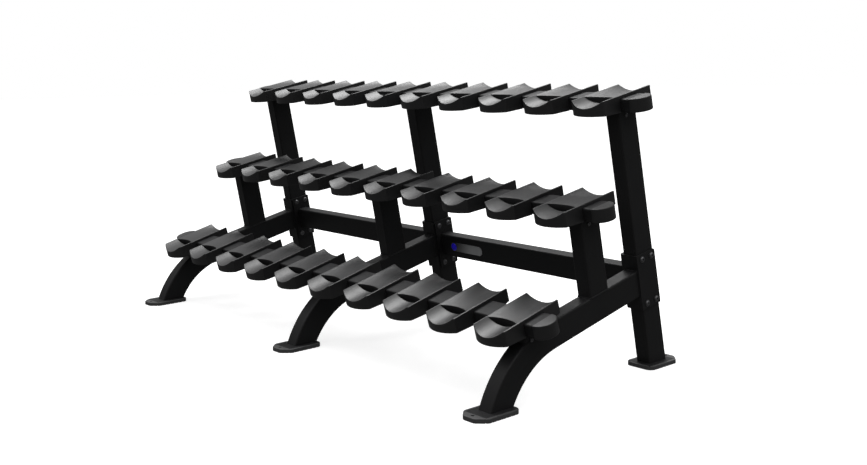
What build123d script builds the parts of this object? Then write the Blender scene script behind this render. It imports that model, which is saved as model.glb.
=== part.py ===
from build123d import *
from math import atan, cos, degrees, radians, sin, tan
import os

# Three-tier saddle rack for dumbbells. Millimetres, +Z up, the front faces -Y, the floor is Z = 0
# and the origin is under the middle of the rack.

# Saddles: moulded cradles, two of which carry one dumbbell
SADDLE_PITCH = 254.0
SADDLES_PER_TIER = 10
SADDLE_HALF_WIDE = 78.0
SADDLE_FRONT = -141.0
SADDLE_REAR = 130.0
SADDLE_HIGH = 63.0
NOSE_BULGE = 28.0
RIDGE_FLAT = 5.0
SCOOP_DEEP = 23.0
SCOOP_REAR = SADDLE_FRONT + 66.0
PAD_SAG_FRONT = 4.0
PAD_SAG_REAR = 23.0
PAD_CURVE = 2.6
NOSE_LIFT = 9.0
TAIL_LIFT = 12.0
FLAT_UNDER = 56.0
POCKET_BOW = 17.5
POCKET_FLOOR = 21.0
NOTCH_SIDE_GAP = 0.2

# Rails: flat tubes that carry the saddles
RAIL_DEEP = 101.6
RAIL_HIGH = 50.8
RAIL_HALF_LONG = 1261.0
CAP_RADIUS = 51.5
CAP_LIP = 0.8
CAP_TOP_ROUND = 3.0
CAP_BOTTOM_ROUND = 3.0
PLUG_LONG = 25.0
PLUG_GAP = 0.2

# Each tier: the middle of its rail's underside in Y and Z, and how far its front leans down
TIERS = {
    "top": (256.4, 1001.9, 11.0),
    "mid": (45.3, 621.6, 11.0),
    "low": (-254.1, 260.8, 14.6),
}

# Frames: three pairs of rear post and front leg in box tube
FRAMES = {"left": -1177.0, "centre": 0.0, "right": 1177.0}
TUBE_WIDE = 63.5
TUBE_DEEP = 101.6
TUBE_WALL = 3.2
TUBE_CORNER = 6.4
POST_LEAN = degrees(atan(0.181))
POST_JOINT_Y = 370.1
POST_JOINT_Z = 348.0
MID_POST_LEAN = degrees(atan(0.179))
MID_POST_Y = 90.7
MID_POST_Z = 339.0

# Front leg: a straight arm that runs into a bend about an axis along X
BEND_Y = -68.0
BEND_Z = -140.0
BEND_RADIUS = 375.6
ARM_SLOPE = 13.2
BEND_ANGLE = 60.0

# Feet: a steel plate on each leg, moulded into a rubber shoe
FOOT_WIDE = 127.0
FOOT_LONG = 190.0
FOOT_HIGH = 16.0
FOOT_CENTRE = 443.0
FOOT_TOE_CUT = 36.0
FOOT_TOE_ROUND = 22.0
FOOT_HEEL_ROUND = 27.0
FOOT_BEVEL = 2.5
PLATE_INSET = 7.0
PLATE_BOTTOM = 4.0
PLATE_TOP = 12.0
PAD_WIDE = 106.0
PAD_TOE_Y = 505.0
PAD_HEEL_Y = 352.0
PAD_TOE_ROUND = 3.0
PAD_HEEL_ROUND = 17.0
ANCHOR_Y = 517.5
ANCHOR_RADIUS = 6.5

# Bolted joint between post, front leg and cross beams
PLATE_THICK = 6.35
BRACKET_LONG = 216.0
BRACKET_REAR = TUBE_DEEP / 2
CORNER_CUT = 4.0
JOINT_BOLTS = [(-27.5, -87.5), (27.5, -87.5), (-27.5, 87.5), (27.5, 87.5)]
BOLT_RADIUS = 6.0
BOLT_GAP = 0.5
BOLT_TAIL = 2.2
BEAM_WIDE = 50.8
BEAM_DROP = 4.0

# Joint between a rail and the tube under it: a tongue, and one cross bolt placed from the rail's middle
TONGUE_DEEP = 76.0
TONGUE_HIGH = 50.0
TONGUE_WALL = 5.0
TONGUE_GAP = 0.2
SLOT_GAP = 4.0
RAIL_BOLT_RADIUS = 4.0
RAIL_BOLTS = {"top": (-14.0, -18.0), "mid": (-14.5, -19.5), "low": (-18.0, -25.5)}

# Screws that hold the saddles from under the rail
SCREW_X = 71.0
SCREW_RADIUS = 3.0
SCREW_TOP = 56.0
SCREW_HEAD_RADIUS = 5.0
SCREW_HEAD_HIGH = 3.5
SCREW_GAP = 0.1

# Badge on the right beam
BADGE_X = 210.0
BADGE_LONG = 205.0
BADGE_HIGH = 42.0
BADGE_THICK = 2.5
DISC_RADIUS = 17.0
DISC_THICK = 2.0

BIG = 800.0
LONG = 1500.0


def leaning(x, y, z, lean):
    """Plane whose Y axis runs rearwards and up at the lean, and whose Z axis stands square to it."""
    return Plane(origin=(x, y, z), x_dir=(1, 0, 0), z_dir=(0, -sin(radians(lean)), cos(radians(lean))))


def tier_plane(tier, x=0.0):
    y, z, lean = TIERS[tier]
    return leaning(x, y, z, lean)


def joint_plane(x):
    return leaning(x, POST_JOINT_Y, POST_JOINT_Z, POST_LEAN)


def cross_rod(radius, x_from, x_to, y, z):
    """Cylinder along X between two stations, at a place in the side plane."""
    rod = Rot(0, 90, 0) * Cylinder(radius, x_to - x_from)
    return Pos((x_from + x_to) / 2, y, z) * rod


# ---- tube work -------------------------------------------------------------------------------

def tube_section(shrink=0.0):
    return RectangleRounded(TUBE_WIDE - 2 * shrink, TUBE_DEEP - 2 * shrink, TUBE_CORNER - shrink)


def box_tube(wide, high, length):
    """Straight box tube along X from X = 0, drawn in Y and Z."""
    outer = RectangleRounded(wide, high, TUBE_CORNER)
    inner = RectangleRounded(wide - 2 * TUBE_WALL, high - 2 * TUBE_WALL, TUBE_CORNER - TUBE_WALL)
    return extrude(Plane.YZ * (outer - inner), length)


def below_feet():
    return Pos(0, 0, FOOT_HIGH - BIG / 2) * Box(4 * BIG, 4 * BIG, BIG)


def above_tier(tier):
    return tier_plane(tier) * Pos(0, 0, BIG / 2) * Box(BIG, BIG, BIG)


def post_body(shrink=0.0):
    """Rear post in the plane X = 0, from its foot plate to the underside of the top rail."""
    blank = extrude(tube_section(shrink), LONG / 2, both=True)
    return joint_plane(0) * blank - below_feet() - above_tier("top")


def mid_post_body(shrink=0.0):
    blank = extrude(tube_section(shrink), BIG / 2, both=True)
    placed = leaning(0, MID_POST_Y, MID_POST_Z, MID_POST_LEAN) * blank
    return placed - arm_top_space() - above_tier("mid")


def arm_plane():
    """Plane across the leg where its straight arm meets the bend; its Z axis runs up the arm."""
    slope = radians(ARM_SLOPE)
    start = (0, BEND_Y - BEND_RADIUS * sin(slope), BEND_Z + BEND_RADIUS * cos(slope))
    return Plane(origin=start, x_dir=(1, 0, 0), z_dir=(0, cos(slope), sin(slope)))


def arm_top_space():
    """Everything under the top face of the straight arm."""
    return arm_plane() * Pos(0, BIG / 2 - TUBE_DEEP / 2, 0) * Box(BIG, BIG, 2 * BIG)


def leg_body(shrink=0.0):
    """Front leg in the plane X = 0: straight arm, bend, and a level cut at the foot plate."""
    section = arm_plane() * tube_section(shrink)
    arm = extrude(section, BIG, dir=arm_plane().z_dir)
    web_front = -TUBE_DEEP / 2 - PLATE_THICK
    behind_web = joint_plane(0) * Pos(0, web_front + BIG / 2, 0) * Box(BIG, BIG, 2 * BIG)
    bend = revolve(section, Axis((0, BEND_Y, BEND_Z), (1, 0, 0)), BEND_ANGLE)
    return (arm - behind_web) + (bend - below_feet())


def foot_outline(inset=0.0):
    """Foot in plan, with its blunt toe towards -Y."""
    half_wide, half_long = FOOT_WIDE / 2, FOOT_LONG / 2
    toe_wide, toe_start = half_wide - FOOT_TOE_CUT, FOOT_TOE_CUT - half_long
    points = [
        (-half_wide, half_long), (-half_wide, toe_start), (-toe_wide, -half_long),
        (toe_wide, -half_long), (half_wide, toe_start), (half_wide, half_long),
    ]
    sheet = make_face(Polyline(*points, close=True))
    ends = sheet.vertices().group_by(Axis.Y)
    sheet = fillet(ends[-1], FOOT_HEEL_ROUND)
    toes = [corner for corner in sheet.vertices() if corner.Y < toe_start + 1.0]
    sheet = fillet(toes, FOOT_TOE_ROUND)
    return offset(sheet, -inset) if inset else sheet


def foot_place(is_front):
    return Pos(0, -FOOT_CENTRE, 0) if is_front else Pos(0, FOOT_CENTRE, 0) * Rot(0, 0, 180)


def anchor_hole(is_front):
    y = -ANCHOR_Y if is_front else ANCHOR_Y
    return Pos(0, y, 0) * Cylinder(ANCHOR_RADIUS, 4 * FOOT_HIGH)


def plate_blank():
    """Steel foot plate before its hole: a slab inside the rubber and a pad that shows in its top."""
    slab = extrude(Pos(0, 0, PLATE_BOTTOM) * foot_outline(PLATE_INSET), PLATE_TOP - PLATE_BOTTOM)
    sheet = Rectangle(PAD_WIDE, PAD_TOE_Y - PAD_HEEL_Y)
    sheet = fillet(sheet.vertices().group_by(Axis.Y)[0], PAD_TOE_ROUND)
    sheet = fillet(sheet.vertices().group_by(Axis.Y)[-1], PAD_HEEL_ROUND)
    middle = FOOT_CENTRE - (PAD_TOE_Y + PAD_HEEL_Y) / 2
    return slab + extrude(Pos(0, middle, PLATE_TOP) * sheet, FOOT_HIGH - PLATE_TOP)


def foot_plate(is_front):
    return foot_place(is_front) * plate_blank() - anchor_hole(is_front)


def rubber_shoe(is_front):
    """Rubber shoe moulded round a foot plate."""
    block = extrude(foot_outline(), FOOT_HIGH)
    block = chamfer(block.faces().sort_by(Axis.Z)[-1].edges(), FOOT_BEVEL)
    return foot_place(is_front) * (block - plate_blank()) - anchor_hole(is_front)


# ---- bolted joint ----------------------------------------------------------------------------

def joint_holes():
    radius = BOLT_RADIUS + BOLT_GAP
    return [cross_rod(radius, -TUBE_WIDE, TUBE_WIDE, y, z) for y, z in JOINT_BOLTS]


def post_offset(tier):
    """Where the centre line of the post crosses the underside of its rail, from the rail's middle."""
    y, z, lean = TIERS[tier]
    if tier == "top":
        line_y, line_z, line_lean = POST_JOINT_Y, POST_JOINT_Z, POST_LEAN
    elif tier == "mid":
        line_y, line_z, line_lean = MID_POST_Y, MID_POST_Z, MID_POST_LEAN
    else:
        return 0.0
    at_rail = line_y - (z - line_z) * tan(radians(line_lean))
    return (at_rail - y) * cos(radians(lean))


def rail_bolt_hole(tier):
    """Hole through the tube under a rail, in the plane X = 0."""
    return tier_plane(tier) * cross_rod(RAIL_BOLT_RADIUS + BOLT_GAP, -TUBE_WIDE, TUBE_WIDE, *RAIL_BOLTS[tier])


def side_outline(front, front_cut):
    """Side plate outline in the side plane of the joint, with its corners cut off."""
    half = BRACKET_LONG / 2
    rear = BRACKET_REAR
    points = [
        (front + front_cut, -half), (rear - CORNER_CUT, -half), (rear, CORNER_CUT - half),
        (rear, half - CORNER_CUT), (rear - CORNER_CUT, half), (front + front_cut, half),
    ]
    if front_cut:
        points += [(front, half - front_cut), (front, front_cut - half)]
    return Plane.YZ * make_face(Polyline(*points, close=True))


def post_bracket():
    """U-shaped bracket: a web on the front of the post and a flange on each side of it."""
    front = -TUBE_DEEP / 2 - PLATE_THICK
    flange = extrude(side_outline(front, 0.0), PLATE_THICK)
    web = Pos(0, front + PLATE_THICK / 2, 0) * Box(TUBE_WIDE, PLATE_THICK, BRACKET_LONG)
    right = Pos(TUBE_WIDE / 2, 0, 0) * flange
    left = Pos(-TUBE_WIDE / 2 - PLATE_THICK, 0, 0) * flange
    return web + right + left - joint_holes()


def cross_beam():
    """Beam between two frames with an end plate on each end, from the left frame's joint."""
    start = TUBE_WIDE / 2 + PLATE_THICK
    span = FRAMES["right"] - 2 * start
    end_plate = extrude(side_outline(-TUBE_DEEP / 2, CORNER_CUT), PLATE_THICK) - joint_holes()
    tube = box_tube(BEAM_WIDE, TUBE_DEEP, span - 2 * PLATE_THICK)
    first = Pos(start, 0, 0) * end_plate
    last = Pos(start + span - PLATE_THICK, 0, 0) * end_plate
    return first + Pos(start + PLATE_THICK, 0, -BEAM_DROP) * tube + last


def cap_screw(radius, x_from, x_to, y, z):
    """Button-head bolt along X with its head at the far end."""
    head = Cylinder(1.75 * radius, 1.1 * radius, align=(Align.CENTER, Align.CENTER, Align.MIN))
    head = fillet(head.edges().sort_by(Axis.Z)[-1], 0.8 * radius)
    socket = extrude(Pos(0, 0, 0.5 * radius) * RegularPolygon(0.7 * radius, 6), radius)
    flange = Cylinder(2.15 * radius, 0.25 * radius, align=(Align.CENTER, Align.CENTER, Align.MIN))
    head = Pos(x_to, y, z) * Rot(0, 90, 0) * (head + flange - socket)
    return head + cross_rod(radius, x_from, x_to + 0.1 * radius, y, z)


def nut(radius, x_at, y, z):
    """Hex nut along X, which stands to the left of the given station."""
    body = extrude(RegularPolygon(1.75 * radius, 6), 1.6 * radius)
    body -= Cylinder(radius + 0.05, 8 * radius)
    return Pos(x_at, y, z) * Rot(0, -90, 0) * body


def bolt_reach(frame):
    """Outer faces of the plates that the joint bolts clamp, to the left and right of a frame."""
    inside = TUBE_WIDE / 2 + 2 * PLATE_THICK
    outside = TUBE_WIDE / 2 + PLATE_THICK
    left = outside if frame == "left" else inside
    right = outside if frame == "right" else inside
    return -left, right


def all_bolts():
    bolts, nuts = [], []
    for frame, x in FRAMES.items():
        left, right = bolt_reach(frame)
        for y, z in JOINT_BOLTS:
            place = joint_plane(x)
            bolts.append(place * cap_screw(BOLT_RADIUS, left - BOLT_TAIL * BOLT_RADIUS, right, y, z))
            nuts.append(place * nut(BOLT_RADIUS, left, y, z))
        for tier, (y, z) in RAIL_BOLTS.items():
            place = tier_plane(tier, x)
            half = TUBE_WIDE / 2
            bolts.append(place * cap_screw(RAIL_BOLT_RADIUS, -half - BOLT_TAIL * RAIL_BOLT_RADIUS, half, y, z))
            nuts.append(place * nut(RAIL_BOLT_RADIUS, -half, y, z))
    return bolts, nuts


# ---- rails -----------------------------------------------------------------------------------

def saddle_xs():
    middle = (SADDLES_PER_TIER - 1) / 2
    return [(index - middle) * SADDLE_PITCH for index in range(SADDLES_PER_TIER)]


def screw_xs():
    return [x + side * SCREW_X for x in saddle_xs() for side in (-1, 1)]


def rail():
    tube = Pos(-RAIL_HALF_LONG, 0, 0) * box_tube(RAIL_DEEP, RAIL_HIGH, 2 * RAIL_HALF_LONG)
    holes = [Pos(x, 0, RAIL_HIGH / 2) * Cylinder(SCREW_RADIUS + SCREW_GAP, 2 * RAIL_HIGH) for x in screw_xs()]
    return Pos(0, 0, RAIL_HIGH / 2) * tube - holes


def end_cap():
    """Half-round cap for the right end of a rail, with a plug that goes into the tube."""
    high = RAIL_HIGH + 2 * CAP_LIP
    disc = Cylinder(CAP_RADIUS, high) & Pos(CAP_RADIUS, 0, 0) * Box(2 * CAP_RADIUS, 4 * CAP_RADIUS, high)
    top_arc = disc.faces().sort_by(Axis.Z)[-1].edges().filter_by(GeomType.CIRCLE)
    disc = fillet(top_arc, CAP_TOP_ROUND)
    bottom_arc = disc.faces().sort_by(Axis.Z)[0].edges().filter_by(GeomType.CIRCLE)
    disc = fillet(bottom_arc, CAP_BOTTOM_ROUND)
    deep = RAIL_DEEP - 2 * (TUBE_WALL + PLUG_GAP)
    tall = RAIL_HIGH - 2 * (TUBE_WALL + PLUG_GAP)
    plug = extrude(Plane.YZ * RectangleRounded(deep, tall, TUBE_CORNER - TUBE_WALL), -PLUG_LONG)
    return Pos(RAIL_HALF_LONG, 0, RAIL_HIGH / 2) * (disc + plug)


def tongue(tier):
    """Channel under a rail that drops into the tube below and takes the cross bolt."""
    wide = TUBE_WIDE - 2 * (TUBE_WALL + TONGUE_GAP)
    block = Box(wide, TONGUE_DEEP, TONGUE_HIGH)
    hollow = Pos(0, 0, -TONGUE_WALL) * Box(wide - 2 * TONGUE_WALL, 2 * TONGUE_DEEP, TONGUE_HIGH)
    channel = Pos(0, post_offset(tier), -TONGUE_HIGH / 2) * (block - hollow)
    return tier_plane(tier) * channel - rail_bolt_hole(tier)


def leg_slot():
    """Slot in the top wall of the leg that lets the low rail's tongue in."""
    slot = Box(TUBE_WIDE - 2 * TUBE_WALL, TONGUE_DEEP + 2 * SLOT_GAP, TONGUE_HIGH + 2 * SLOT_GAP)
    return tier_plane("low") * Pos(0, 0, -TONGUE_HIGH / 2 - SLOT_GAP) * slot


def standoff():
    """Stub of tube between the bend of the leg and the low rail."""
    outer = RectangleRounded(TUBE_WIDE, RAIL_DEEP, TUBE_CORNER)
    inner = RectangleRounded(TUBE_WIDE - 2 * TUBE_WALL, RAIL_DEEP - 2 * TUBE_WALL, TUBE_CORNER - TUBE_WALL)
    stub = tier_plane("low") * extrude(outer - inner, -TUBE_DEEP / 2)
    return stub - cross_rod(BEND_RADIUS + TUBE_DEEP / 2, -TUBE_WIDE, TUBE_WIDE, BEND_Y, BEND_Z)


def saddle_screws():
    head = Pos(0, 0, -SCREW_HEAD_HIGH / 2) * Cylinder(SCREW_HEAD_RADIUS, SCREW_HEAD_HIGH)
    shank = Pos(0, 0, SCREW_TOP / 2) * Cylinder(SCREW_RADIUS, SCREW_TOP)
    screw = head + shank
    return [tier_plane(tier, x) * screw for tier in TIERS for x in screw_xs()]


# ---- saddles ---------------------------------------------------------------------------------

def trough_section(y, sag):
    """Section across a saddle's trough at a station along it: an arc that sags between the ridges."""
    half = SADDLE_HALF_WIDE - RIDGE_FLAT
    top = SADDLE_HIGH + 10.0
    arc = ThreePointArc((-half, SADDLE_HIGH), (0, SADDLE_HIGH - sag), (half, SADDLE_HIGH))
    lid = Polyline((half, SADDLE_HIGH), (half, top), (-half, top), (-half, SADDLE_HIGH))
    return Plane.XZ.offset(-y) * make_face(arc + lid)


def pad_sag(y):
    """Depth of the rear pad's trough at a station: nearly level over the rail, deeper towards the horns."""
    share = (y - SCOOP_REAR) / (SADDLE_REAR - SCOOP_REAR)
    return PAD_SAG_FRONT + (PAD_SAG_REAR - PAD_SAG_FRONT) * share ** PAD_CURVE


def under_wedges():
    """What is cut from the underside in front of the rail and behind it."""
    half = 2 * SADDLE_HALF_WIDE
    wedges = []
    for end, lift in ((SADDLE_FRONT - NOSE_BULGE, NOSE_LIFT), (SADDLE_REAR, TAIL_LIFT)):
        start = FLAT_UNDER if end > 0 else -FLAT_UNDER
        beyond = 2 * end - start
        outline = Polyline((start, 0), (beyond, 2 * lift), (beyond, 0), close=True)
        wedges.append(extrude(Plane.YZ * make_face(outline), half, both=True))
    return wedges


def saddle():
    """One cradle: a bowed nose with a deep scoop, a pocket, and a rear pad over the rail."""
    half = SADDLE_HALF_WIDE
    nose = ThreePointArc((half, SADDLE_FRONT), (0, SADDLE_FRONT - NOSE_BULGE), (-half, SADDLE_FRONT))
    sides = Polyline((-half, SADDLE_FRONT), (-half, SADDLE_REAR), (half, SADDLE_REAR), (half, SADDLE_FRONT))
    body = extrude(make_face(nose + sides), SADDLE_HIGH)
    scoop = extrude(trough_section(SCOOP_REAR, SCOOP_DEEP), BIG / 4)
    stations = [SCOOP_REAR, 0.0, RAIL_DEEP / 2, 0.7 * SADDLE_REAR, SADDLE_REAR + 1.0]
    sections = [trough_section(y, pad_sag(y)) for y in stations]
    pads = [loft([first, second], ruled=True) for first, second in zip(sections, sections[1:])]
    inner = half - RIDGE_FLAT
    bow = ThreePointArc((-inner, SCOOP_REAR), (0, SCOOP_REAR + POCKET_BOW), (inner, SCOOP_REAR))
    lens = make_face(bow + Line((inner, SCOOP_REAR), (-inner, SCOOP_REAR)))
    pocket = extrude(Pos(0, 0, POCKET_FLOOR) * lens, SADDLE_HIGH)
    notch = Pos(0, 0, RAIL_HIGH / 2) * Box(4 * half, RAIL_DEEP + 2 * NOTCH_SIDE_GAP, RAIL_HIGH)
    holes = [Pos(x, 0, 0) * Cylinder(SCREW_RADIUS + SCREW_GAP, 2 * SCREW_TOP) for x in (-SCREW_X, SCREW_X)]
    return body - scoop - pads - pocket - notch - under_wedges() - holes


# ---- badge -----------------------------------------------------------------------------------

def on_beam_front(x, shape):
    """Stands a flat piece on the front face of the beam, drawn in X and up the beam."""
    upright = Pos(x, -BEAM_WIDE / 2, -BEAM_DROP) * Rot(90, 0, 0)
    return joint_plane(0) * upright * shape


def badge_plate():
    plate = extrude(SlotOverall(BADGE_LONG, BADGE_HIGH), BADGE_THICK)
    return on_beam_front(BADGE_X, plate)


def badge_disc():
    disc = Pos(0, 0, BADGE_THICK) * extrude(Circle(DISC_RADIUS), DISC_THICK)
    return on_beam_front(BADGE_X - BADGE_LONG / 2 + BADGE_HIGH / 2, disc)


# ---- assembly --------------------------------------------------------------------------------

def group(shapes):
    """Separate solids under one name."""
    return Compound(children=[solid for shape in shapes for solid in shape.solids()])


def build_frames(nodes):
    post_cuts = [joint_plane(0) * hole for hole in joint_holes()] + [rail_bolt_hole("top")]
    post = post_body() - post_body(TUBE_WALL) - post_cuts + foot_plate(False)
    leg = leg_body() - leg_body(TUBE_WALL) - leg_slot() - rail_bolt_hole("low") + foot_plate(True)
    mid_post = mid_post_body() - mid_post_body(TUBE_WALL) - rail_bolt_hole("mid")
    bracket = joint_plane(0) * post_bracket()
    shoes = [rubber_shoe(True), rubber_shoe(False)]
    for frame, x in FRAMES.items():
        nodes[f"rear_post_{frame}"] = Pos(x, 0, 0) * post
        nodes[f"front_leg_{frame}"] = Pos(x, 0, 0) * leg
        nodes[f"mid_post_{frame}"] = Pos(x, 0, 0) * mid_post
        nodes[f"post_bracket_{frame}"] = Pos(x, 0, 0) * bracket
    beam = cross_beam()
    nodes["cross_beam_left"] = joint_plane(FRAMES["left"]) * beam
    nodes["cross_beam_right"] = joint_plane(FRAMES["centre"]) * beam
    nodes["rubber_feet"] = group([Pos(x, 0, 0) * shoe for x in FRAMES.values() for shoe in shoes])


def build_tiers(nodes):
    one_rail = rail()
    one_saddle = saddle()
    right_cap = end_cap()
    left_cap = Rot(0, 0, 180) * right_cap
    for tier in TIERS:
        nodes[f"rail_{tier}"] = tier_plane(tier) * one_rail
        nodes[f"end_cap_{tier}_left"] = tier_plane(tier) * left_cap
        nodes[f"end_cap_{tier}_right"] = tier_plane(tier) * right_cap
        for index, x in enumerate(saddle_xs()):
            nodes[f"saddle_{tier}_{index + 1:02d}"] = tier_plane(tier, x) * one_saddle
    under_rails = [tongue(tier) for tier in TIERS] + [standoff()]
    mounts = [Pos(x, 0, 0) * mount for mount in under_rails for x in FRAMES.values()]
    nodes["rail_mounts"] = group(mounts)


def build_fasteners(nodes):
    bolts, nuts = all_bolts()
    nodes["frame_bolts"] = group(bolts)
    nodes["frame_nuts"] = group(nuts)
    nodes["saddle_screws"] = group(saddle_screws())
    nodes["badge_plate"] = badge_plate()
    nodes["badge_disc"] = badge_disc()


def main():
    nodes = {}
    build_frames(nodes)
    build_tiers(nodes)
    build_fasteners(nodes)
    os.makedirs("parts", exist_ok=True)
    for name, shape in nodes.items():
        export_step(shape, f"parts/{name}.step")


main()
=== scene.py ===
"""Looks of a three-tier dumbbell rack: moulded saddles, black box tube, rubber feet and a small badge."""
import math

import bmesh
import bpy
from mathutils import Matrix, Vector


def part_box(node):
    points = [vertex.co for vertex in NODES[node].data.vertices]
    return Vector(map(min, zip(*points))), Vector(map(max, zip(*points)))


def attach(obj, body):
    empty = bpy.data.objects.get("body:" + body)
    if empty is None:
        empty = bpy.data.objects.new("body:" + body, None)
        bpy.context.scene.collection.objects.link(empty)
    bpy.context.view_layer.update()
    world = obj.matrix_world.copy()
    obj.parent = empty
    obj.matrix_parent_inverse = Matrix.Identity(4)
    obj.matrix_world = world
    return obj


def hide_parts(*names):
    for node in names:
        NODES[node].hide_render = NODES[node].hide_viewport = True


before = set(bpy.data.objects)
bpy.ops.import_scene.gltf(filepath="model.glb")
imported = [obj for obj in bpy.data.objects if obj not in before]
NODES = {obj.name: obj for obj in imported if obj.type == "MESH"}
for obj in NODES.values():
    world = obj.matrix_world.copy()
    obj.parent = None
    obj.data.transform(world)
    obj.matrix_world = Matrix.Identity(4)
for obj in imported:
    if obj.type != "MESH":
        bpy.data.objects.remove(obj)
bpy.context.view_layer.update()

bl_info = {
    "name": "Dumbbell Rack",
    "version": (1, 0, 0),
    "blender": (4, 5, 0),
    "location": "3D View > Sidebar > Rack",
    "description": "Builds the looks of a three-tier saddle rack around its packed frame",
    "category": "Object",
}

MM = 0.001
TIERS = ("top", "mid", "low")
SIDES = ("left", "right")
FRAMES = ("left", "centre", "right")
RAIL_DEEP = 101.6 * MM
RAIL_HIGH = 50.8 * MM
RAIL_CORNER = 6.4 * MM
POST_LEAN = math.atan(0.181)
ARM_SLOPE = math.radians(13.2)
FOOT_REACH = 443 * MM
FOOT_HALF_WIDE = 63.5 * MM
FOOT_HALF_LONG = 95 * MM
FOOT_HIGH = 16 * MM
FOOT_TOE_CUT = 36 * MM
FOOT_HEEL_ROUND = 27 * MM
FOOT_GROOVES = 3
GROOVE_STEP = 22 * MM
PAD_LOW = 12 * MM
ANCHOR_BACK = 74.5 * MM
ANCHOR_RADIUS = 6.5 * MM
CAP_ROUND = 3 * MM
POCKET_FLOOR = 21 * MM
CELL_FRONT_HIGH = 28 * MM
CELL_REAR_HIGH = 32 * MM
UNDER_FLAT = 5 * MM


# ---- places taken from the frame ---------------------------------------------------------------

def node_points(node):
    return [vertex.co.copy() for vertex in NODES[node].data.vertices]


def local_box(node, place):
    """Lowest and highest corner of a node in a tilted place's own axes."""
    back = place.inverted()
    points = [back @ point for point in node_points(node)]
    low = Vector([min(point[axis] for point in points) for axis in range(3)])
    high = Vector([max(point[axis] for point in points) for axis in range(3)])
    return low, high


def tier_place(tier):
    """Place of a tier at X = 0: Y runs rearwards up its slope from the middle of the rail's underside."""
    low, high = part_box(f"rail_{tier}")
    wide, tall = RAIL_DEEP - 2 * RAIL_CORNER, RAIL_HIGH - 2 * RAIL_CORNER
    size_y, size_z = (high.y - low.y) - 2 * RAIL_CORNER, (high.z - low.z) - 2 * RAIL_CORNER
    slope = math.atan2(wide * size_z - tall * size_y, wide * size_y - tall * size_z)
    turn = Matrix.Rotation(slope, 4, "X")
    middle = (low + high) / 2
    return Matrix.Translation((0, middle.y, middle.z)) @ turn @ Matrix.Translation((0, 0, -RAIL_HIGH / 2))


def middle_x(node):
    low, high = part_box(node)
    return (low.x + high.x) / 2


def shift(x, y=0.0, z=0.0):
    return Matrix.Translation((x, y, z))


TIER_PLACES = {tier: tier_place(tier) for tier in TIERS}
SADDLES = sorted(name for name in NODES if name.startswith("saddle_") and name != "saddle_screws")
FIRST_SADDLE = "saddle_top_01"
SADDLE_LOW, SADDLE_HIGH = local_box(FIRST_SADDLE, TIER_PLACES["top"])
FRAME_X = {side: middle_x(f"post_bracket_{side}") for side in FRAMES}


# ---- settings ----------------------------------------------------------------------------------

class RackSaddleSettings(bpy.types.PropertyGroup):
    """Sizes of one moulded saddle."""
    half_wide: bpy.props.FloatProperty(
        name="Half width", description="Half of the saddle's width along the rail",
        default=(SADDLE_HIGH.x - SADDLE_LOW.x) / 2, subtype="DISTANCE", unit="LENGTH")
    nose_bulge: bpy.props.FloatProperty(
        name="Nose bulge", description="How far the nose bows forward of its corners",
        default=28 * MM, subtype="DISTANCE", unit="LENGTH")
    scoop_deep: bpy.props.FloatProperty(
        name="Scoop depth", description="Depth of the front scoop under the ridges",
        default=23 * MM, subtype="DISTANCE", unit="LENGTH")
    scoop_long: bpy.props.FloatProperty(
        name="Scoop length", description="Length of the front scoop behind the nose's corners",
        default=66 * MM, subtype="DISTANCE", unit="LENGTH")
    pad_sag_front: bpy.props.FloatProperty(
        name="Pad sag, front", description="Depth of the rear pad's trough at its front edge",
        default=4 * MM, subtype="DISTANCE", unit="LENGTH")
    pad_sag_rear: bpy.props.FloatProperty(
        name="Pad sag, rear", description="Depth of the rear pad's trough at the horns",
        default=23 * MM, subtype="DISTANCE", unit="LENGTH")
    pad_curve: bpy.props.FloatProperty(
        name="Pad curve", description="How late the pad's trough deepens towards the horns", default=2.6)
    nose_lift: bpy.props.FloatProperty(
        name="Nose lift", description="How far the underside rises to the nose's tip",
        default=9 * MM, subtype="DISTANCE", unit="LENGTH")
    tail_lift: bpy.props.FloatProperty(
        name="Tail lift", description="How far the underside rises to the rear end",
        default=12 * MM, subtype="DISTANCE", unit="LENGTH")
    ridge_flat: bpy.props.FloatProperty(
        name="Ridge", description="Width of the ridge along each side",
        default=5.8 * MM, subtype="DISTANCE", unit="LENGTH")
    pocket_bow: bpy.props.FloatProperty(
        name="Pocket bow", description="How far the pocket's rear wall bows back",
        default=17.5 * MM, subtype="DISTANCE", unit="LENGTH")
    edge_round: bpy.props.FloatProperty(
        name="Edge rounding", description="Radius of the moulded edges",
        default=1.9 * MM, subtype="DISTANCE", unit="LENGTH")
    wall: bpy.props.FloatProperty(
        name="Wall", description="Wall left round the hollows in the underside",
        default=6 * MM, subtype="DISTANCE", unit="LENGTH")


class RackFrameSettings(bpy.types.PropertyGroup):
    """Finish of the welded frame and its feet."""
    bead_radius: bpy.props.FloatProperty(
        name="Weld bead", description="Radius of the weld beads",
        default=3.2 * MM, subtype="DISTANCE", unit="LENGTH")
    bead_step: bpy.props.FloatProperty(
        name="Weld ripple", description="Length of one ripple along a weld bead",
        default=3.5 * MM, subtype="DISTANCE", unit="LENGTH")
    coat_colour: bpy.props.FloatVectorProperty(
        name="Coat", description="Colour of the powder coat", subtype="COLOR", size=3,
        default=(0.014, 0.014, 0.0145), min=0.0, max=1.0)
    shoe_colour: bpy.props.FloatVectorProperty(
        name="Shoes", description="Colour of the rubber shoes", subtype="COLOR", size=3,
        default=(0.045, 0.045, 0.046), min=0.0, max=1.0)


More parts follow.
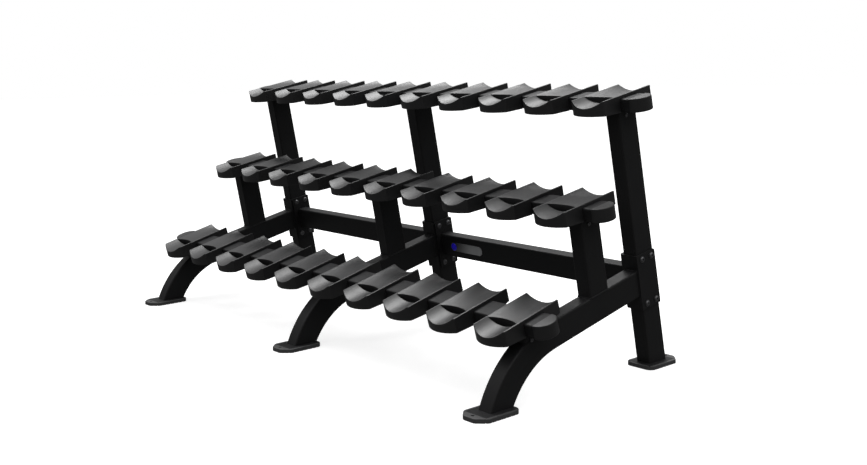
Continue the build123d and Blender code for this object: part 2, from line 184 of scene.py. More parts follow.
class RackMouldingSettings(bpy.types.PropertyGroup):
    """Colours of the moulded parts and the badge."""
    saddle_colour: bpy.props.FloatVectorProperty(
        name="Saddles", description="Colour of the moulded saddles", subtype="COLOR", size=3,
        default=(0.012, 0.012, 0.0125), min=0.0, max=1.0)
    badge_colour: bpy.props.FloatVectorProperty(
        name="Badge", description="Colour of the badge plate", subtype="COLOR", size=3,
        default=(0.62, 0.63, 0.64), min=0.0, max=1.0)
    disc_colour: bpy.props.FloatVectorProperty(
        name="Disc", description="Colour of the enamel disc", subtype="COLOR", size=3,
        default=(0.035, 0.018, 0.95), min=0.0, max=1.0)


class RackStageSettings(bpy.types.PropertyGroup):
    """Camera and lights."""
    camera_place: bpy.props.FloatVectorProperty(
        name="Camera", description="Where the camera stands", subtype="TRANSLATION", size=3,
        default=(3.7990, -2.9133, 1.2278), unit="LENGTH")
    azimuth: bpy.props.FloatProperty(
        name="Azimuth", description="Turn of the view about Z, from looking along +Y",
        default=math.radians(49.405), subtype="ANGLE", unit="ROTATION")
    elevation: bpy.props.FloatProperty(
        name="Elevation", description="How far the view looks down",
        default=math.radians(4.121), subtype="ANGLE", unit="ROTATION")
    roll: bpy.props.FloatProperty(
        name="Roll", description="Roll of the camera about its view",
        default=math.radians(-1.035), subtype="ANGLE", unit="ROTATION")
    lens: bpy.props.FloatProperty(
        name="Lens", description="Focal length on a 36 mm sensor, in millimetres", default=45.22)
    shift_y: bpy.props.FloatProperty(
        name="Shift", description="Vertical lens shift", default=-0.1182)
    sky: bpy.props.FloatProperty(
        name="Sky", description="Strength of the soft light from all round", default=1.1, min=0.0)
    soft_box: bpy.props.FloatProperty(
        name="Soft box", description="Power of the soft box above and behind the rack, in watts",
        default=180.0, min=0.0)


# ---- shader maths ------------------------------------------------------------------------------

class Socket:
    """An output socket that can be used in sums; each sum adds its Math node."""

    def __init__(self, finish, link):
        self.finish = finish
        self.link = link

    def __add__(self, other):
        return self.finish.maths("ADD", self, other)

    def __radd__(self, other):
        return self.finish.maths("ADD", other, self)

    def __sub__(self, other):
        return self.finish.maths("SUBTRACT", self, other)

    def __mul__(self, other):
        return self.finish.maths("MULTIPLY", self, other)

    def above(self, edge, soft):
        """0 under the edge and 1 over it, softened on both sides."""
        settings = {"interpolation_type": "SMOOTHSTEP"}
        values = {"Value": self, "From Min": edge - soft, "From Max": edge + soft}
        return self.finish.node("ShaderNodeMapRange", settings, values)


class Finish:
    """A material under construction, read on Object coordinates."""

    def __init__(self, name):
        self.material = bpy.data.materials.new(name)
        self.material.use_nodes = True
        self.tree = self.material.node_tree
        self.tree.nodes.clear()
        self.place = self.node("ShaderNodeTexCoord", {}, {}, "Object")

    def node(self, kind, settings, values, output=0):
        """Adds a node: its settings first, then the values or links of its sockets."""
        made = self.tree.nodes.new(kind)
        for key, value in settings.items():
            if key == "stops":
                self.set_stops(made.color_ramp, value)
            else:
                setattr(made, key, value)
        for key, value in values.items():
            socket = made.inputs[key]
            if isinstance(value, Socket):
                self.tree.links.new(value.link, socket)
            else:
                socket.default_value = value
        return Socket(self, made.outputs[output])

    @staticmethod
    def set_stops(ramp, stops):
        while len(ramp.elements) < len(stops):
            ramp.elements.new(0.5)
        for element, (position, colour) in zip(ramp.elements, stops):
            element.position = position
            element.color = (*colour, 1.0)

    def maths(self, operation, first, second):
        return self.node("ShaderNodeMath", {"operation": operation}, {0: first, 1: second})

    def stretched(self, scale):
        """Object coordinates scaled by a different amount along each axis."""
        return self.node("ShaderNodeVectorMath", {"operation": "MULTIPLY"}, {0: self.place, 1: scale})

    def noise(self, scale, detail=2.0, roughness=0.5, place=None):
        values = {"Vector": place or self.place, "Scale": scale, "Detail": detail, "Roughness": roughness}
        return self.node("ShaderNodeTexNoise", {"normalize": True}, values, "Fac")

    def cells(self, scale):
        values = {"Vector": self.place, "Scale": scale}
        return self.node("ShaderNodeTexVoronoi", {"feature": "F1"}, values, "Distance")

    def mix(self, factor, first, second):
        """Colour between two colours."""
        settings = {"data_type": "RGBA", "clamp_factor": True}
        return self.node("ShaderNodeMix", settings, {0: factor, 6: first, 7: second}, 2)

    def bump(self, height, strength, distance):
        values = {"Height": height, "Strength": strength, "Distance": distance}
        return self.node("ShaderNodeBump", {}, values, "Normal")

    def upwards(self):
        """How far a surface faces up, from -1 to 1."""
        normal = self.node("ShaderNodeNewGeometry", {}, {}, "Normal")
        return self.node("ShaderNodeSeparateXYZ", {}, {"Vector": normal}, "Z")

    def shade(self, **values):
        """Finishes the material with one Principled shader."""
        named = {key.replace("_", " ").title().replace("Ior", "IOR"): value for key, value in values.items()}
        shader = self.node("ShaderNodeBsdfPrincipled", {}, named, "BSDF")
        output = self.tree.nodes.new("ShaderNodeOutputMaterial")
        self.tree.links.new(shader.link, output.inputs["Surface"])
        return self.material


def opaque(colour, gain=1.0):
    return (*(channel * gain for channel in colour), 1.0)


def powder_coat(settings):
    """Satin black powder coat: fine orange peel, cloudy gloss and a trace of dust on top faces."""
    finish = Finish("powder_coat")
    peel = finish.noise(420.0, 2.0)
    clouds = finish.noise(7.0, 3.0)
    dust = finish.upwards().above(0.75, 0.25) * finish.noise(38.0, 4.0).above(0.55, 0.25)
    body = finish.mix(clouds, opaque(settings.coat_colour, 0.85), opaque(settings.coat_colour, 1.2))
    colour = finish.mix(dust * 0.35, body, opaque(settings.coat_colour, 2.4))
    roughness = 0.36 + clouds * 0.12 + dust * 0.12
    normal = finish.bump(peel, 0.25, 0.0006)
    return finish.shade(base_color=colour, roughness=roughness, normal=normal, specular_ior_level=0.14)


def moulded(name, colour, grain_scale, rub):
    """Satin moulding: fine grain, cloudy gloss and faint rubs where a dumbbell lands."""
    finish = Finish(name)
    grain = finish.cells(grain_scale)
    clouds = finish.noise(11.0, 3.0)
    streaks = finish.noise(26.0, 5.0, 0.6, finish.stretched((1.0, 7.0, 2.0)))
    worn = finish.upwards().above(0.8, 0.15) * streaks.above(0.58, 0.1) * rub
    body = finish.mix(clouds, opaque(colour, 0.85), opaque(colour, 1.15))
    shade = finish.mix(worn, body, opaque(colour, 1.7))
    roughness = 0.34 + clouds * 0.1 + worn * 0.12 + grain * 0.05
    normal = finish.bump(grain, 0.18, 0.0004)
    return finish.shade(base_color=shade, roughness=roughness, normal=normal)


def shoe_rubber(settings):
    """Matt rubber with a pebbled skin and pale scuffs spread over it."""
    finish = Finish("shoe_rubber")
    pebble = finish.cells(520.0)
    scuff = finish.noise(60.0, 5.0, 0.65).above(0.62, 0.08)
    colour = finish.mix(scuff * 0.5, opaque(settings.shoe_colour), opaque(settings.shoe_colour, 1.6))
    roughness = 0.5 + scuff * 0.15 + pebble * 0.08
    normal = finish.bump(pebble, 0.35, 0.0005)
    return finish.shade(base_color=colour, roughness=roughness, normal=normal)


def black_oxide():
    """Oiled black oxide on steel fasteners."""
    finish = Finish("black_oxide")
    blotch = finish.noise(160.0, 4.0)
    colour = finish.mix(blotch, (0.09, 0.09, 0.095, 1.0), (0.20, 0.20, 0.205, 1.0))
    roughness = 0.28 + blotch * 0.18
    normal = finish.bump(finish.noise(900.0, 2.0), 0.15, 0.0003)
    return finish.shade(base_color=colour, roughness=roughness, normal=normal, metallic=0.9)


def brushed_badge(settings, low, high):
    """Brushed plate with painted shade: its colour darkens towards its left end, where the reflection on it
    fades.
    """
    finish = Finish("brushed_badge")
    brush = finish.noise(300.0, 4.0, 0.6, finish.stretched((0.04, 1.0, 4.0)))
    across = finish.node("ShaderNodeSeparateXYZ", {}, {"Vector": finish.place}, "X")
    along = (across - low.x) * (1.0 / (high.x - low.x))
    bright = opaque(settings.badge_colour)
    # painted shade: the left end takes a darkened copy of the badge colour, blending to the full colour
    # towards the right
    painted_shade_tone = finish.mix(along.above(0.42, 0.3), opaque(settings.badge_colour, 0.16), bright)
    colour = finish.mix(brush * 0.5, painted_shade_tone, opaque(settings.badge_colour, 0.5))
    roughness = 0.3 + brush * 0.2
    normal = finish.bump(brush, 0.3, 0.0002)
    return finish.shade(base_color=colour, roughness=roughness, normal=normal, metallic=0.85)


def disc_enamel(settings):
    """Glossy blue enamel with a little depth in its colour."""
    finish = Finish("disc_enamel")
    depth = finish.noise(90.0, 3.0)
    colour = finish.mix(depth, opaque(settings.disc_colour, 0.8), opaque(settings.disc_colour, 1.25))
    return finish.shade(base_color=colour, roughness=0.22 + depth * 0.08, coat_weight=0.6)


def pale_floor():
    finish = Finish("pale_floor")
    drift = finish.noise(0.8, 2.0)
    colour = finish.mix(drift, (0.55, 0.55, 0.55, 1.0), (0.57, 0.57, 0.57, 1.0))
    glow = {"emission_color": (1.0, 1.0, 1.0, 1.0), "emission_strength": 0.72}
    return finish.shade(base_color=colour, roughness=0.8 + drift * 0.05, specular_ior_level=0.1, **glow)


# ---- modelling ---------------------------------------------------------------------------------

def deselect():
    if bpy.context.mode != "OBJECT":
        bpy.ops.object.mode_set(mode="OBJECT")
    bpy.ops.object.select_all(action="DESELECT")


def take(piece):
    """Makes one object the only selected and active one."""
    deselect()
    piece.select_set(True)
    bpy.context.view_layer.objects.active = piece
    return piece


def settle():
    bpy.ops.object.transform_apply(location=True, rotation=True, scale=True)
    return bpy.context.active_object


def add_box(low, high):
    deselect()
    low, high = Vector(low), Vector(high)
    bpy.ops.mesh.primitive_cube_add(size=1.0, location=(low + high) / 2)
    bpy.context.active_object.scale = high - low
    return settle()


def add_rod(radius, low, high, sides):
    """Upright cylinder between two heights, centred on the low point."""
    deselect()
    low, high = Vector(low), Vector(high)
    bpy.ops.mesh.primitive_cylinder_add(
        vertices=sides, radius=radius, depth=(high - low).length, location=(low + high) / 2)
    return settle()


def edit(piece, mode="VERT"):
    take(piece)
    bpy.ops.object.mode_set(mode="EDIT")
    bpy.ops.mesh.select_mode(type=mode)


def pick(piece, kind, test):
    """Selects the vertices, edges or faces of a piece in edit mode that pass a test."""
    mesh = bmesh.from_edit_mesh(piece.data)
    bpy.ops.mesh.select_all(action="DESELECT")
    for item in getattr(mesh, kind):
        if test(item):
            item.select_set(True)
    mesh.select_flush_mode()
    bmesh.update_edit_mesh(piece.data)


def slice_off(piece, point, outwards):
    """Cuts away what lies beyond a plane and closes the cut."""
    edit(piece)
    bpy.ops.mesh.select_all(action="SELECT")
    bpy.ops.mesh.bisect(plane_co=point, plane_no=outwards, use_fill=True, clear_outer=True)
    deselect()


def bevel_edges(piece, test, width, segments):
    edit(piece, "EDGE")
    pick(piece, "edges", test)
    bpy.ops.mesh.bevel(offset=width, segments=segments, profile=0.5, affect="EDGES", clamp_overlap=False)
    deselect()


def modify(piece, kind, **settings):
    take(piece)
    modifier = piece.modifiers.new(kind.lower(), kind)
    for key, value in settings.items():
        setattr(modifier, key, value)
    bpy.ops.object.modifier_apply(modifier=modifier.name)


def cut(piece, cutter):
    modify(piece, "BOOLEAN", object=cutter, operation="DIFFERENCE", solver="EXACT")
    bpy.data.objects.remove(cutter)


def round_off(piece, width, segments=3, angle=30.0):
    """Rounds every sharp edge, then shades flat faces flat and rounded ones smooth."""
    modify(piece, "BEVEL", limit_method="ANGLE", angle_limit=math.radians(angle), width=width,
           segments=segments, use_clamp_overlap=False, miter_outer="MITER_ARC")
    tidy_mesh(piece)
    soften(piece)


def tidy_mesh(piece, gap=0.02 * MM):
    """Closes gaps and short edges, and turns every face outwards."""
    edit(piece)
    bpy.ops.mesh.select_all(action="SELECT")
    bpy.ops.mesh.remove_doubles(threshold=gap)
    bpy.ops.mesh.normals_make_consistent(inside=False)
    deselect()


def soften(piece, angle=32.0):
    take(piece)
    bpy.ops.object.shade_smooth_by_angle(angle=math.radians(angle))
    modify(piece, "WEIGHTED_NORMAL", keep_sharp=True, weight=80)


def join(pieces):
    deselect()
    for piece in pieces:
        piece.select_set(True)
    bpy.context.view_layer.objects.active = pieces[0]
    bpy.ops.object.join()
    return pieces[0]


def copied(piece, place):
    """A copy with its own mesh, moved by a matrix while its object stays at the origin."""
    twin = piece.copy()
    twin.data = piece.data.copy()
    bpy.context.collection.objects.link(twin)
    twin.data.transform(place)
    return twin


def drop(piece):
    bpy.data.objects.remove(piece)


def hand_in(piece, name, material, slot, *replaced):
    """Names a finished piece, gives it its finish and ties it to the frame."""
    piece.name = name
    piece.data.name = name
    piece.data.materials.clear()
    piece.data.materials.append(material)
    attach(piece, "root")
    if replaced:
        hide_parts(*replaced)


def upright(edge):
    first, second = (vertex.co for vertex in edge.verts)
    return abs(first.x - second.x) + abs(first.y - second.y) < 1e-6


def level_at(edge, height):
    return all(abs(vertex.co.z - height) < 1e-5 for vertex in edge.verts)


# ---- saddles -----------------------------------------------------------------------------------

def saddle_block(settings, front, rear, high):
    """Outline of the saddle at its full height, with its underside lifted at the nose and tail."""
    half = settings.half_wide
    radius = (half ** 2 + settings.nose_bulge ** 2) / (2 * settings.nose_bulge)
    tip = front - settings.nose_bulge
    block = add_rod(radius, (0, tip + radius, 0), (0, tip + radius, high), 192)
    slice_off(block, (half, 0, 0), (1, 0, 0))
    slice_off(block, (-half, 0, 0), (-1, 0, 0))
    slice_off(block, (0, 0, 0), (0, 1, 0))
    edit(block, "FACE")
    pick(block, "faces", lambda face: face.normal.y > 0.99)
    bpy.ops.mesh.extrude_region_move(TRANSFORM_OT_translate={"value": (0, rear, 0)})
    deselect()
    flat = RAIL_DEEP / 2 + UNDER_FLAT
    for end, lift in ((tip, settings.nose_lift), (rear, settings.tail_lift)):
        start = math.copysign(flat, end)
        rise = lift / abs(end - start)
        slice_off(block, (0, start, 0), (0, rise * math.copysign(1, end), -1))
    return block


def trough_cutter(settings, front, rear, sag_at, high):
    """Solid that fills a trough: its underside is an arc whose sag changes along the saddle."""
    inner = settings.half_wide - settings.ridge_flat
    deselect()
    bpy.ops.mesh.primitive_grid_add(x_subdivisions=44, y_subdivisions=20, size=1.0)
    cutter = bpy.context.active_object
    cutter.scale = (2 * inner + 2 * MM, rear - front, 1.0)
    cutter.location = (0, (front + rear) / 2, 0)
    settle()
    for vertex in cutter.data.vertices:
        sag = sag_at(vertex.co.y)
        radius = (inner ** 2 + sag ** 2) / (2 * sag)
        vertex.co.z = high - sag + radius - math.sqrt(radius ** 2 - vertex.co.x ** 2)
    edit(cutter, "FACE")
    bpy.ops.mesh.select_all(action="SELECT")
    bpy.ops.mesh.extrude_region_move(TRANSFORM_OT_translate={"value": (0, 0, 60 * MM)})
    bpy.ops.mesh.select_all(action="SELECT")
    bpy.ops.mesh.normals_make_consistent(inside=False)
    deselect()
    return cutter


def pocket_cutter(settings, front, high):
    """Lens-shaped well between the scoop and the pad."""
    half_chord = settings.half_wide - settings.ridge_flat - 5 * MM
    radius = (half_chord ** 2 + settings.pocket_bow ** 2) / (2 * settings.pocket_bow)
    middle = front + settings.pocket_bow - radius
    lens = add_rod(radius, (0, middle, POCKET_FLOOR), (0, middle, 2 * high), 256)
    slice_off(lens, (0, front, 0), (0, -1, 0))
    return lens


def hollow_underside(saddle, settings, front, rear):
    """Moulded-out cells under the nose and behind the rail, with ribs left between them."""
    wall, half = settings.wall, settings.half_wide
    rib = wall / 2
    third = half / 3
    columns = ((wall - half, -third - rib), (rib - third, third - rib), (third + rib, half - wall))
    rows = (
        (front + wall, front + settings.scoop_long - 2 * wall, CELL_FRONT_HIGH),
        (RAIL_DEEP / 2 + wall, rear - wall, CELL_REAR_HIGH),
    )
    for left, right in columns:
        for near, far, top in rows:
            cut(saddle, add_box((left, near, -wall), (right, far, top)))


def model_saddle(settings):
    """One cradle in its tier's axes, with the rail's middle at X = 0."""
    rear, high = SADDLE_HIGH.y, SADDLE_HIGH.z
    front = SADDLE_LOW.y + settings.nose_bulge
    step = front + settings.scoop_long
    saddle = saddle_block(settings, front, rear, high)
    nose_tip = front - 2 * settings.nose_bulge
    cut(saddle, trough_cutter(settings, nose_tip, step, lambda y: settings.scoop_deep, high))

    def pad_sag(y):
        share = max(0.0, y - step) / (rear - step)
        deepening = settings.pad_sag_rear - settings.pad_sag_front
        return settings.pad_sag_front + deepening * share ** settings.pad_curve

    cut(saddle, trough_cutter(settings, step, rear + 5 * MM, pad_sag, high))
    cut(saddle, pocket_cutter(settings, step, high))
    notch_half = RAIL_DEEP / 2 + 0.2 * MM
    cut(saddle, add_box((-1, -notch_half, -0.1), (1, notch_half, RAIL_HIGH)))
    hollow_underside(saddle, settings, front, rear)
    tidy_mesh(saddle, 0.7 * MM)
    round_off(saddle, settings.edge_round, 3, 42.0)
    return saddle


class RACK_OT_saddles(bpy.types.Operator):
    """Model one moulded saddle and set a copy of it at every place on the rails"""
    bl_idname = "rack.saddles"
    bl_label = "Saddles"

    def execute(self, context):
        pattern = model_saddle(context.scene.rack_saddle)
        material = moulded("saddle_moulding", context.scene.rack_moulding.saddle_colour, 460.0, 0.35)
        for node in SADDLES:
            tier = node.split("_")[1]
            twin = copied(pattern, shift(middle_x(node)) @ TIER_PLACES[tier])
            hand_in(twin, f"moulded_{node}", material, "saddle_moulded", node)
        drop(pattern)
        return {"FINISHED"}


# ---- end caps ----------------------------------------------------------------------------------

def model_cap():
    """Half-round cap for a rail's right end, with the plug that holds it in the tube."""
    place = TIER_PLACES["top"]
    low, high = local_box("end_cap_top_right", place)
    radius = (high.y - low.y) / 2
    start = high.x - radius
    cap = add_rod(radius, (start, 0, low.z), (start, 0, high.z), 128)
    slice_off(cap, (start, 0, 0), (-1, 0, 0))
    for level in (high.z, low.z):
        bevel_edges(cap, lambda edge: level_at(edge, level) and not on_joint(edge, start), CAP_ROUND, 4)
    round_off(cap, 0.8 * MM, 2)
    inset = 3.4 * MM
    deep = RAIL_DEEP / 2 - inset
    plug = add_box((low.x, -deep, inset), (start + MM, deep, RAIL_HIGH - inset))
    round_off(plug, 1.5 * MM, 2)
    return join([cap, plug])


def on_joint(edge, start):
    return all(abs(vertex.co.x - start) < 1e-5 for vertex in edge.verts)


class RACK_OT_end_caps(bpy.types.Operator):
    """Model the half-round cap and close both ends of every rail with it"""
    bl_idname = "rack.end_caps"
    bl_label = "End caps"

    def execute(self, context):
        pattern = model_cap()
        material = moulded("cap_moulding", context.scene.rack_moulding.saddle_colour, 430.0, 0.1)
        half_turn = Matrix.Rotation(math.pi, 4, "Z")
        for tier in TIERS:
            for side in SIDES:
                turn = half_turn if side == "left" else Matrix.Identity(4)
                node = f"end_cap_{tier}_{side}"
                twin = copied(pattern, TIER_PLACES[tier] @ turn)
                hand_in(twin, f"moulded_{node}", material, "cap_plastic", node)
        drop(pattern)
        return {"FINISHED"}


# ---- feet --------------------------------------------------------------------------------------

def model_shoe():
    """Rubber shoe with its toe towards -Y and its middle at the origin."""
    half_wide, half_long, high = FOOT_HALF_WIDE, FOOT_HALF_LONG, FOOT_HIGH
    shoe = add_box((-half_wide, -half_long, 0), (half_wide, half_long, high))
    bevel_edges(shoe, lambda edge: upright(edge) and edge.verts[0].co.y > half_long - MM, FOOT_HEEL_ROUND, 10)
    bevel_edges(shoe, lambda edge: upright(edge) and edge.verts[0].co.y < MM - half_long, FOOT_TOE_CUT, 1)
    toe = FOOT_TOE_CUT - half_long + MM
    bevel_edges(shoe, lambda edge: upright(edge) and edge.verts[0].co.y < toe, 9 * MM, 6)
    cut(shoe, add_rod(ANCHOR_RADIUS, (0, -ANCHOR_BACK, -high), (0, -ANCHOR_BACK, 2 * high), 40))
    bevel_edges(shoe, lambda edge: level_at(edge, high) and outline_edge(edge), 2.5 * MM, 3)
    cut(shoe, add_box((-53 * MM, -62 * MM, PAD_LOW), (53 * MM, 91 * MM, 2 * high)))
    for groove in range(-FOOT_GROOVES, FOOT_GROOVES + 1):
        y = groove * GROOVE_STEP
        cut(shoe, add_box((-0.2, y - 2 * MM, -MM), (0.2, y + 2 * MM, 1.5 * MM)))
    round_off(shoe, 0.5 * MM, 2)
    return shoe


def outline_edge(edge):
    """An edge of the outline, not of the anchor hole."""
    return min(Vector((vertex.co.x, vertex.co.y + ANCHOR_BACK)).length for vertex in edge.verts) > 8 * MM


class RACK_OT_shoes(bpy.types.Operator):
    """Model the rubber shoe and put one under the front and rear of every frame"""
    bl_idname = "rack.shoes"
    bl_label = "Rubber shoes"

    def execute(self, context):
        pattern = model_shoe()
        half_turn = Matrix.Rotation(math.pi, 4, "Z")
        twins = []
        for x in FRAME_X.values():
            twins.append(copied(pattern, shift(x, -FOOT_REACH)))
            twins.append(copied(pattern, shift(x, FOOT_REACH) @ half_turn))
        shoes = join(twins)
        hand_in(shoes, "moulded_shoes", shoe_rubber(context.scene.rack_frame), "foot_rubber", "rubber_feet")
        drop(pattern)
        return {"FINISHED"}


# ---- welds -------------------------------------------------------------------------------------

def bead(points, radius, step):
    """Rippled weld bead along a closed or open run of points."""
    curve = bpy.data.curves.new("bead", "CURVE")
    curve.dimensions = "3D"
    curve.bevel_depth = radius
    curve.bevel_resolution = 1
    spline = curve.splines.new("POLY")
    stations = spread(points, step / 2)
    spline.points.add(len(stations) - 1)
    for index, (point, place) in enumerate(zip(spline.points, stations)):
        point.co = (*place, 1.0)
        point.radius = 1.0 if index % 2 else 0.8
    curve.use_fill_caps = True
    piece = bpy.data.objects.new("bead", curve)
    bpy.context.collection.objects.link(piece)
    take(piece)
    bpy.ops.object.convert(target="MESH")
    piece = bpy.context.active_object
    bpy.ops.object.shade_smooth()
    return piece


def spread(points, step):
    """Points evenly spaced along a run."""
    stations = []
    for start, end in zip(points, points[1:]):
        count = max(2, round((end - start).length / step))
        stations += [start.lerp(end, index / count) for index in range(count)]
    return stations + [points[-1]]


def seam_run(node, turn, corner=4 * MM):
    """Closed run round the flat end a tube sets against its neighbour; the turned Z runs out of the end."""
    back = turn.inverted()
    points = [back @ point for point in node_points(node)]
    level = max(point.z for point in points)
    end = [point for point in points if point.z > level - 0.2 * MM]
    left, right = min(point.x for point in end), max(point.x for point in end)
    low, high = min(point.y for point in end), max(point.y for point in end)
    run = [
        (right - corner, low), (right, low + corner), (right, high - corner), (right - corner, high),
        (left + corner, high), (left, high - corner), (left, low + corner), (left + corner, low),
    ]
    return [turn @ Vector((x, y, level)) for x, y in (*run, run[0])]


def frame_beads(side, settings):
    """Beads of one frame: leg to rear post, and middle post to leg."""
    rearwards = Matrix.Rotation(POST_LEAN - math.pi / 2, 4, "X")
    downwards = Matrix.Rotation(math.pi + ARM_SLOPE, 4, "X")
    runs = (seam_run(f"front_leg_{side}", rearwards), seam_run(f"mid_post_{side}", downwards))
    return [bead(run, settings.bead_radius, settings.bead_step) for run in runs]


class RACK_OT_welds(bpy.types.Operator):
    """Lay rippled weld beads where the tubes meet"""
    bl_idname = "rack.welds"
    bl_label = "Welds"

    def execute(self, context):
        settings = context.scene.rack_frame
        beads = [piece for side in FRAMES for piece in frame_beads(side, settings)]
        welds = join(beads)
        hand_in(welds, "weld_beads", bpy.data.materials["powder_coat"], "frame_black")
        return {"FINISHED"}


# ---- badge -------------------------------------------------------------------------------------

def beam_front_place():
    """Place on the front face of the right beam at the badge, with Y up the face and Z out of it."""
    low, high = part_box("badge_plate")
    middle = (low + high) / 2
    return Matrix.Translation(middle) @ Matrix.Rotation(math.pi / 2 + POST_LEAN, 4, "X")


def model_plate(half_long, half_high, thick):
    """Stadium-shaped plate with a raised rim."""
    plate = add_box((-half_long, -half_high, -thick / 2), (half_long, half_high, thick / 2))
    bevel_edges(plate, upright, half_high - 0.1 * MM, 18)
    edit(plate, "FACE")
    pick(plate, "faces", lambda face: face.normal.z > 0.9)
    bpy.ops.mesh.inset(thickness=1.8 * MM)
    bpy.ops.transform.translate(value=(0, 0, -0.8 * MM))
    deselect()
    round_off(plate, 0.35 * MM, 2)
    return plate


def model_disc(radius, thick):
    """Domed enamel disc."""
    disc = add_rod(radius, (0, 0, 0), (0, 0, thick), 64)
    bevel_edges(disc, lambda edge: level_at(edge, thick), 0.9 * thick, 6)
    soften(disc, 40.0)
    return disc


class RACK_OT_badge(bpy.types.Operator):
    """Model the plain badge plate and its enamel disc on the right beam"""
    bl_idname = "rack.badge"
    bl_label = "Badge"

    def execute(self, context):
        settings = context.scene.rack_moulding
        place = beam_front_place()
        low, high = local_box("badge_plate", place)
        plate = model_plate(high.x, high.y, high.z - low.z)
        plate.data.transform(place)
        world_low, world_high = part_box("badge_plate")
        material = brushed_badge(settings, world_low, world_high)
        hand_in(plate, "badge_stadium", material, "badge_metal", "badge_plate")
        disc_low, disc_high = local_box("badge_disc", place)
        radius = (disc_high.x - disc_low.x) / 2
        disc = model_disc(radius, disc_high.z - disc_low.z)
        disc.data.transform(place @ shift(disc_low.x + radius, 0, disc_low.z))
        hand_in(disc, "badge_enamel", disc_enamel(settings), "badge_blue", "badge_disc")
        return {"FINISHED"}


# ---- frame finish ------------------------------------------------------------------------------

class RACK_OT_frame_finish(bpy.types.Operator):
    """Give the tubes, brackets and fasteners their finishes"""
    bl_idname = "rack.frame_finish"
    bl_label = "Frame finish"

    def execute(self, context):
        coat = powder_coat(context.scene.rack_frame)
        oxide = black_oxide()
        fasteners = ("frame_bolts", "frame_nuts", "saddle_screws")
        for name, node in NODES.items():
            material = oxide if name in fasteners else coat
            node.data.materials.clear()
            node.data.materials.append(material)
        return {"FINISHED"}


# ---- stage -------------------------------------------------------------------------------------

def add_camera(settings):
    azimuth, elevation, roll = settings.azimuth, settings.elevation, settings.roll
    ahead = Vector((
        -math.sin(azimuth) * math.cos(elevation),
        math.cos(azimuth) * math.cos(elevation),
        -math.sin(elevation)))
    level = Vector((math.cos(azimuth), math.sin(azimuth), 0))
    over = level.cross(ahead)
    across = level * math.cos(roll) + over * math.sin(roll)
    up = over * math.cos(roll) - level * math.sin(roll)
    camera = bpy.data.objects.new("camera", bpy.data.cameras.new("camera"))
    bpy.context.collection.objects.link(camera)
    turn = Matrix((across, up, -ahead)).transposed().to_4x4()
    camera.matrix_world = Matrix.Translation(settings.camera_place) @ turn
    camera.data.sensor_width = 36.0
    camera.data.lens = settings.lens
    camera.data.shift_y = settings.shift_y
    camera.data.clip_end = 100.0
    bpy.context.scene.camera = camera


def add_area(name, place, target, size, power):
    light = bpy.data.lights.new(name, "AREA")
    light.shape = "RECTANGLE"
    light.size, light.size_y = size
    light.energy = power
    lamp = bpy.data.objects.new(name, light)
    bpy.context.collection.objects.link(lamp)
    aim = Vector(target) - Vector(place)
    lamp.matrix_world = Matrix.Translation(place) @ aim.to_track_quat("-Z", "Y").to_matrix().to_4x4()
    return lamp


# Brightness of the sky by the height of the direction: dim at the horizon, a soft box from 40 degrees up.
SKY_STOPS = ((0.0, 0.12), (0.2, 0.22), (0.36, 0.36), (0.5, 0.6), (0.66, 1.1), (1.0, 1.3))


def set_sky(strength):
    """White behind the rack for the camera, and a soft light from above for everything else."""
    world = bpy.data.worlds.new("studio")
    world.use_nodes = True
    bpy.context.scene.world = world
    tree = world.node_tree
    tree.nodes.clear()

    def add(kind, **values):
        made = tree.nodes.new("ShaderNode" + kind)
        for key, value in values.items():
            made.inputs[key].default_value = value
        return made

    place = add("TexCoord")
    parts = add("SeparateXYZ")
    ramp = add("ValToRGB")
    brightest = max(level for height, level in SKY_STOPS)
    Finish.set_stops(ramp.color_ramp, [(height, (level / brightest,) * 3) for height, level in SKY_STOPS])
    path = add("LightPath")
    seen = add("Background", Strength=1.0, Color=(1.0, 1.0, 1.0, 1.0))
    lit = add("Background", Strength=strength * brightest)
    blend = add("MixShader")
    output = add("OutputWorld")
    for start, end in (
        (place.outputs["Generated"], parts.inputs["Vector"]),
        (parts.outputs["Z"], ramp.inputs["Fac"]),
        (ramp.outputs["Color"], lit.inputs["Color"]),
        (path.outputs["Is Camera Ray"], blend.inputs["Fac"]),
        (lit.outputs["Background"], blend.inputs[1]),
        (seen.outputs["Background"], blend.inputs[2]),
        (blend.outputs["Shader"], output.inputs["Surface"]),
    ):
        tree.links.new(start, end)


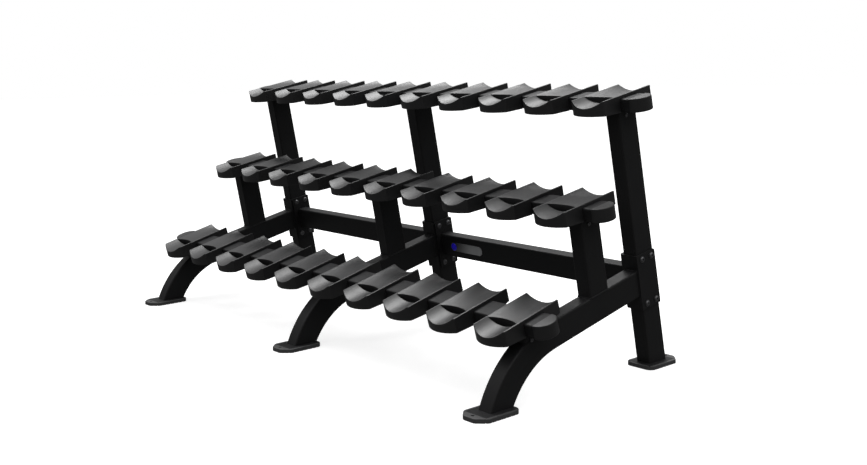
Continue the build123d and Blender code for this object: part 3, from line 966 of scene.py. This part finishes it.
class RACK_OT_stage(bpy.types.Operator):
    """Add the camera, the soft studio light and the pale floor"""
    bl_idname = "rack.stage"
    bl_label = "Stage"

    def execute(self, context):
        settings = context.scene.rack_stage
        add_camera(settings)
        set_sky(settings.sky)
        add_area("soft_box", (-1.6, 1.5, 4.6), (0, 0, 0.6), (2.4, 2.4), settings.soft_box)
        deselect()
        bpy.ops.mesh.primitive_circle_add(vertices=96, radius=30.0, fill_type="NGON")
        floor = bpy.context.active_object
        floor.name = "floor"
        floor.data.materials.append(pale_floor())
        floor.visible_diffuse = False
        floor.visible_glossy = False
        context.scene.view_settings.view_transform = "Standard"
        return {"FINISHED"}


class RACK_PT_panel(bpy.types.Panel):
    """Buttons that build the rack's looks piece by piece"""
    bl_idname = "RACK_PT_panel"
    bl_label = "Dumbbell Rack"
    bl_space_type = "VIEW_3D"
    bl_region_type = "UI"
    bl_category = "Rack"

    def draw(self, context):
        for group in ("rack_saddle", "rack_frame", "rack_moulding", "rack_stage"):
            settings = getattr(context.scene, group)
            box = self.layout.box()
            for name in settings.bl_rna.properties.keys():
                if name not in ("rna_type", "name"):
                    box.prop(settings, name)
        for operator in OPERATORS:
            self.layout.operator(operator.bl_idname)


SETTINGS = {
    "rack_saddle": RackSaddleSettings,
    "rack_frame": RackFrameSettings,
    "rack_moulding": RackMouldingSettings,
    "rack_stage": RackStageSettings,
}
OPERATORS = (
    RACK_OT_frame_finish, RACK_OT_saddles, RACK_OT_end_caps, RACK_OT_shoes, RACK_OT_welds,
    RACK_OT_badge, RACK_OT_stage,
)
CLASSES = (*SETTINGS.values(), *OPERATORS, RACK_PT_panel)


def register():
    for item in CLASSES:
        bpy.utils.register_class(item)
    for name, group in SETTINGS.items():
        setattr(bpy.types.Scene, name, bpy.props.PointerProperty(type=group))


def unregister():
    for name in SETTINGS:
        delattr(bpy.types.Scene, name)
    for item in reversed(CLASSES):
        bpy.utils.unregister_class(item)


def main():
    register()
    bpy.ops.rack.frame_finish()
    bpy.ops.rack.saddles()
    bpy.ops.rack.end_caps()
    bpy.ops.rack.shoes()
    bpy.ops.rack.welds()
    bpy.ops.rack.badge()
    bpy.ops.rack.stage()


if __name__ == "__main__":
    main()
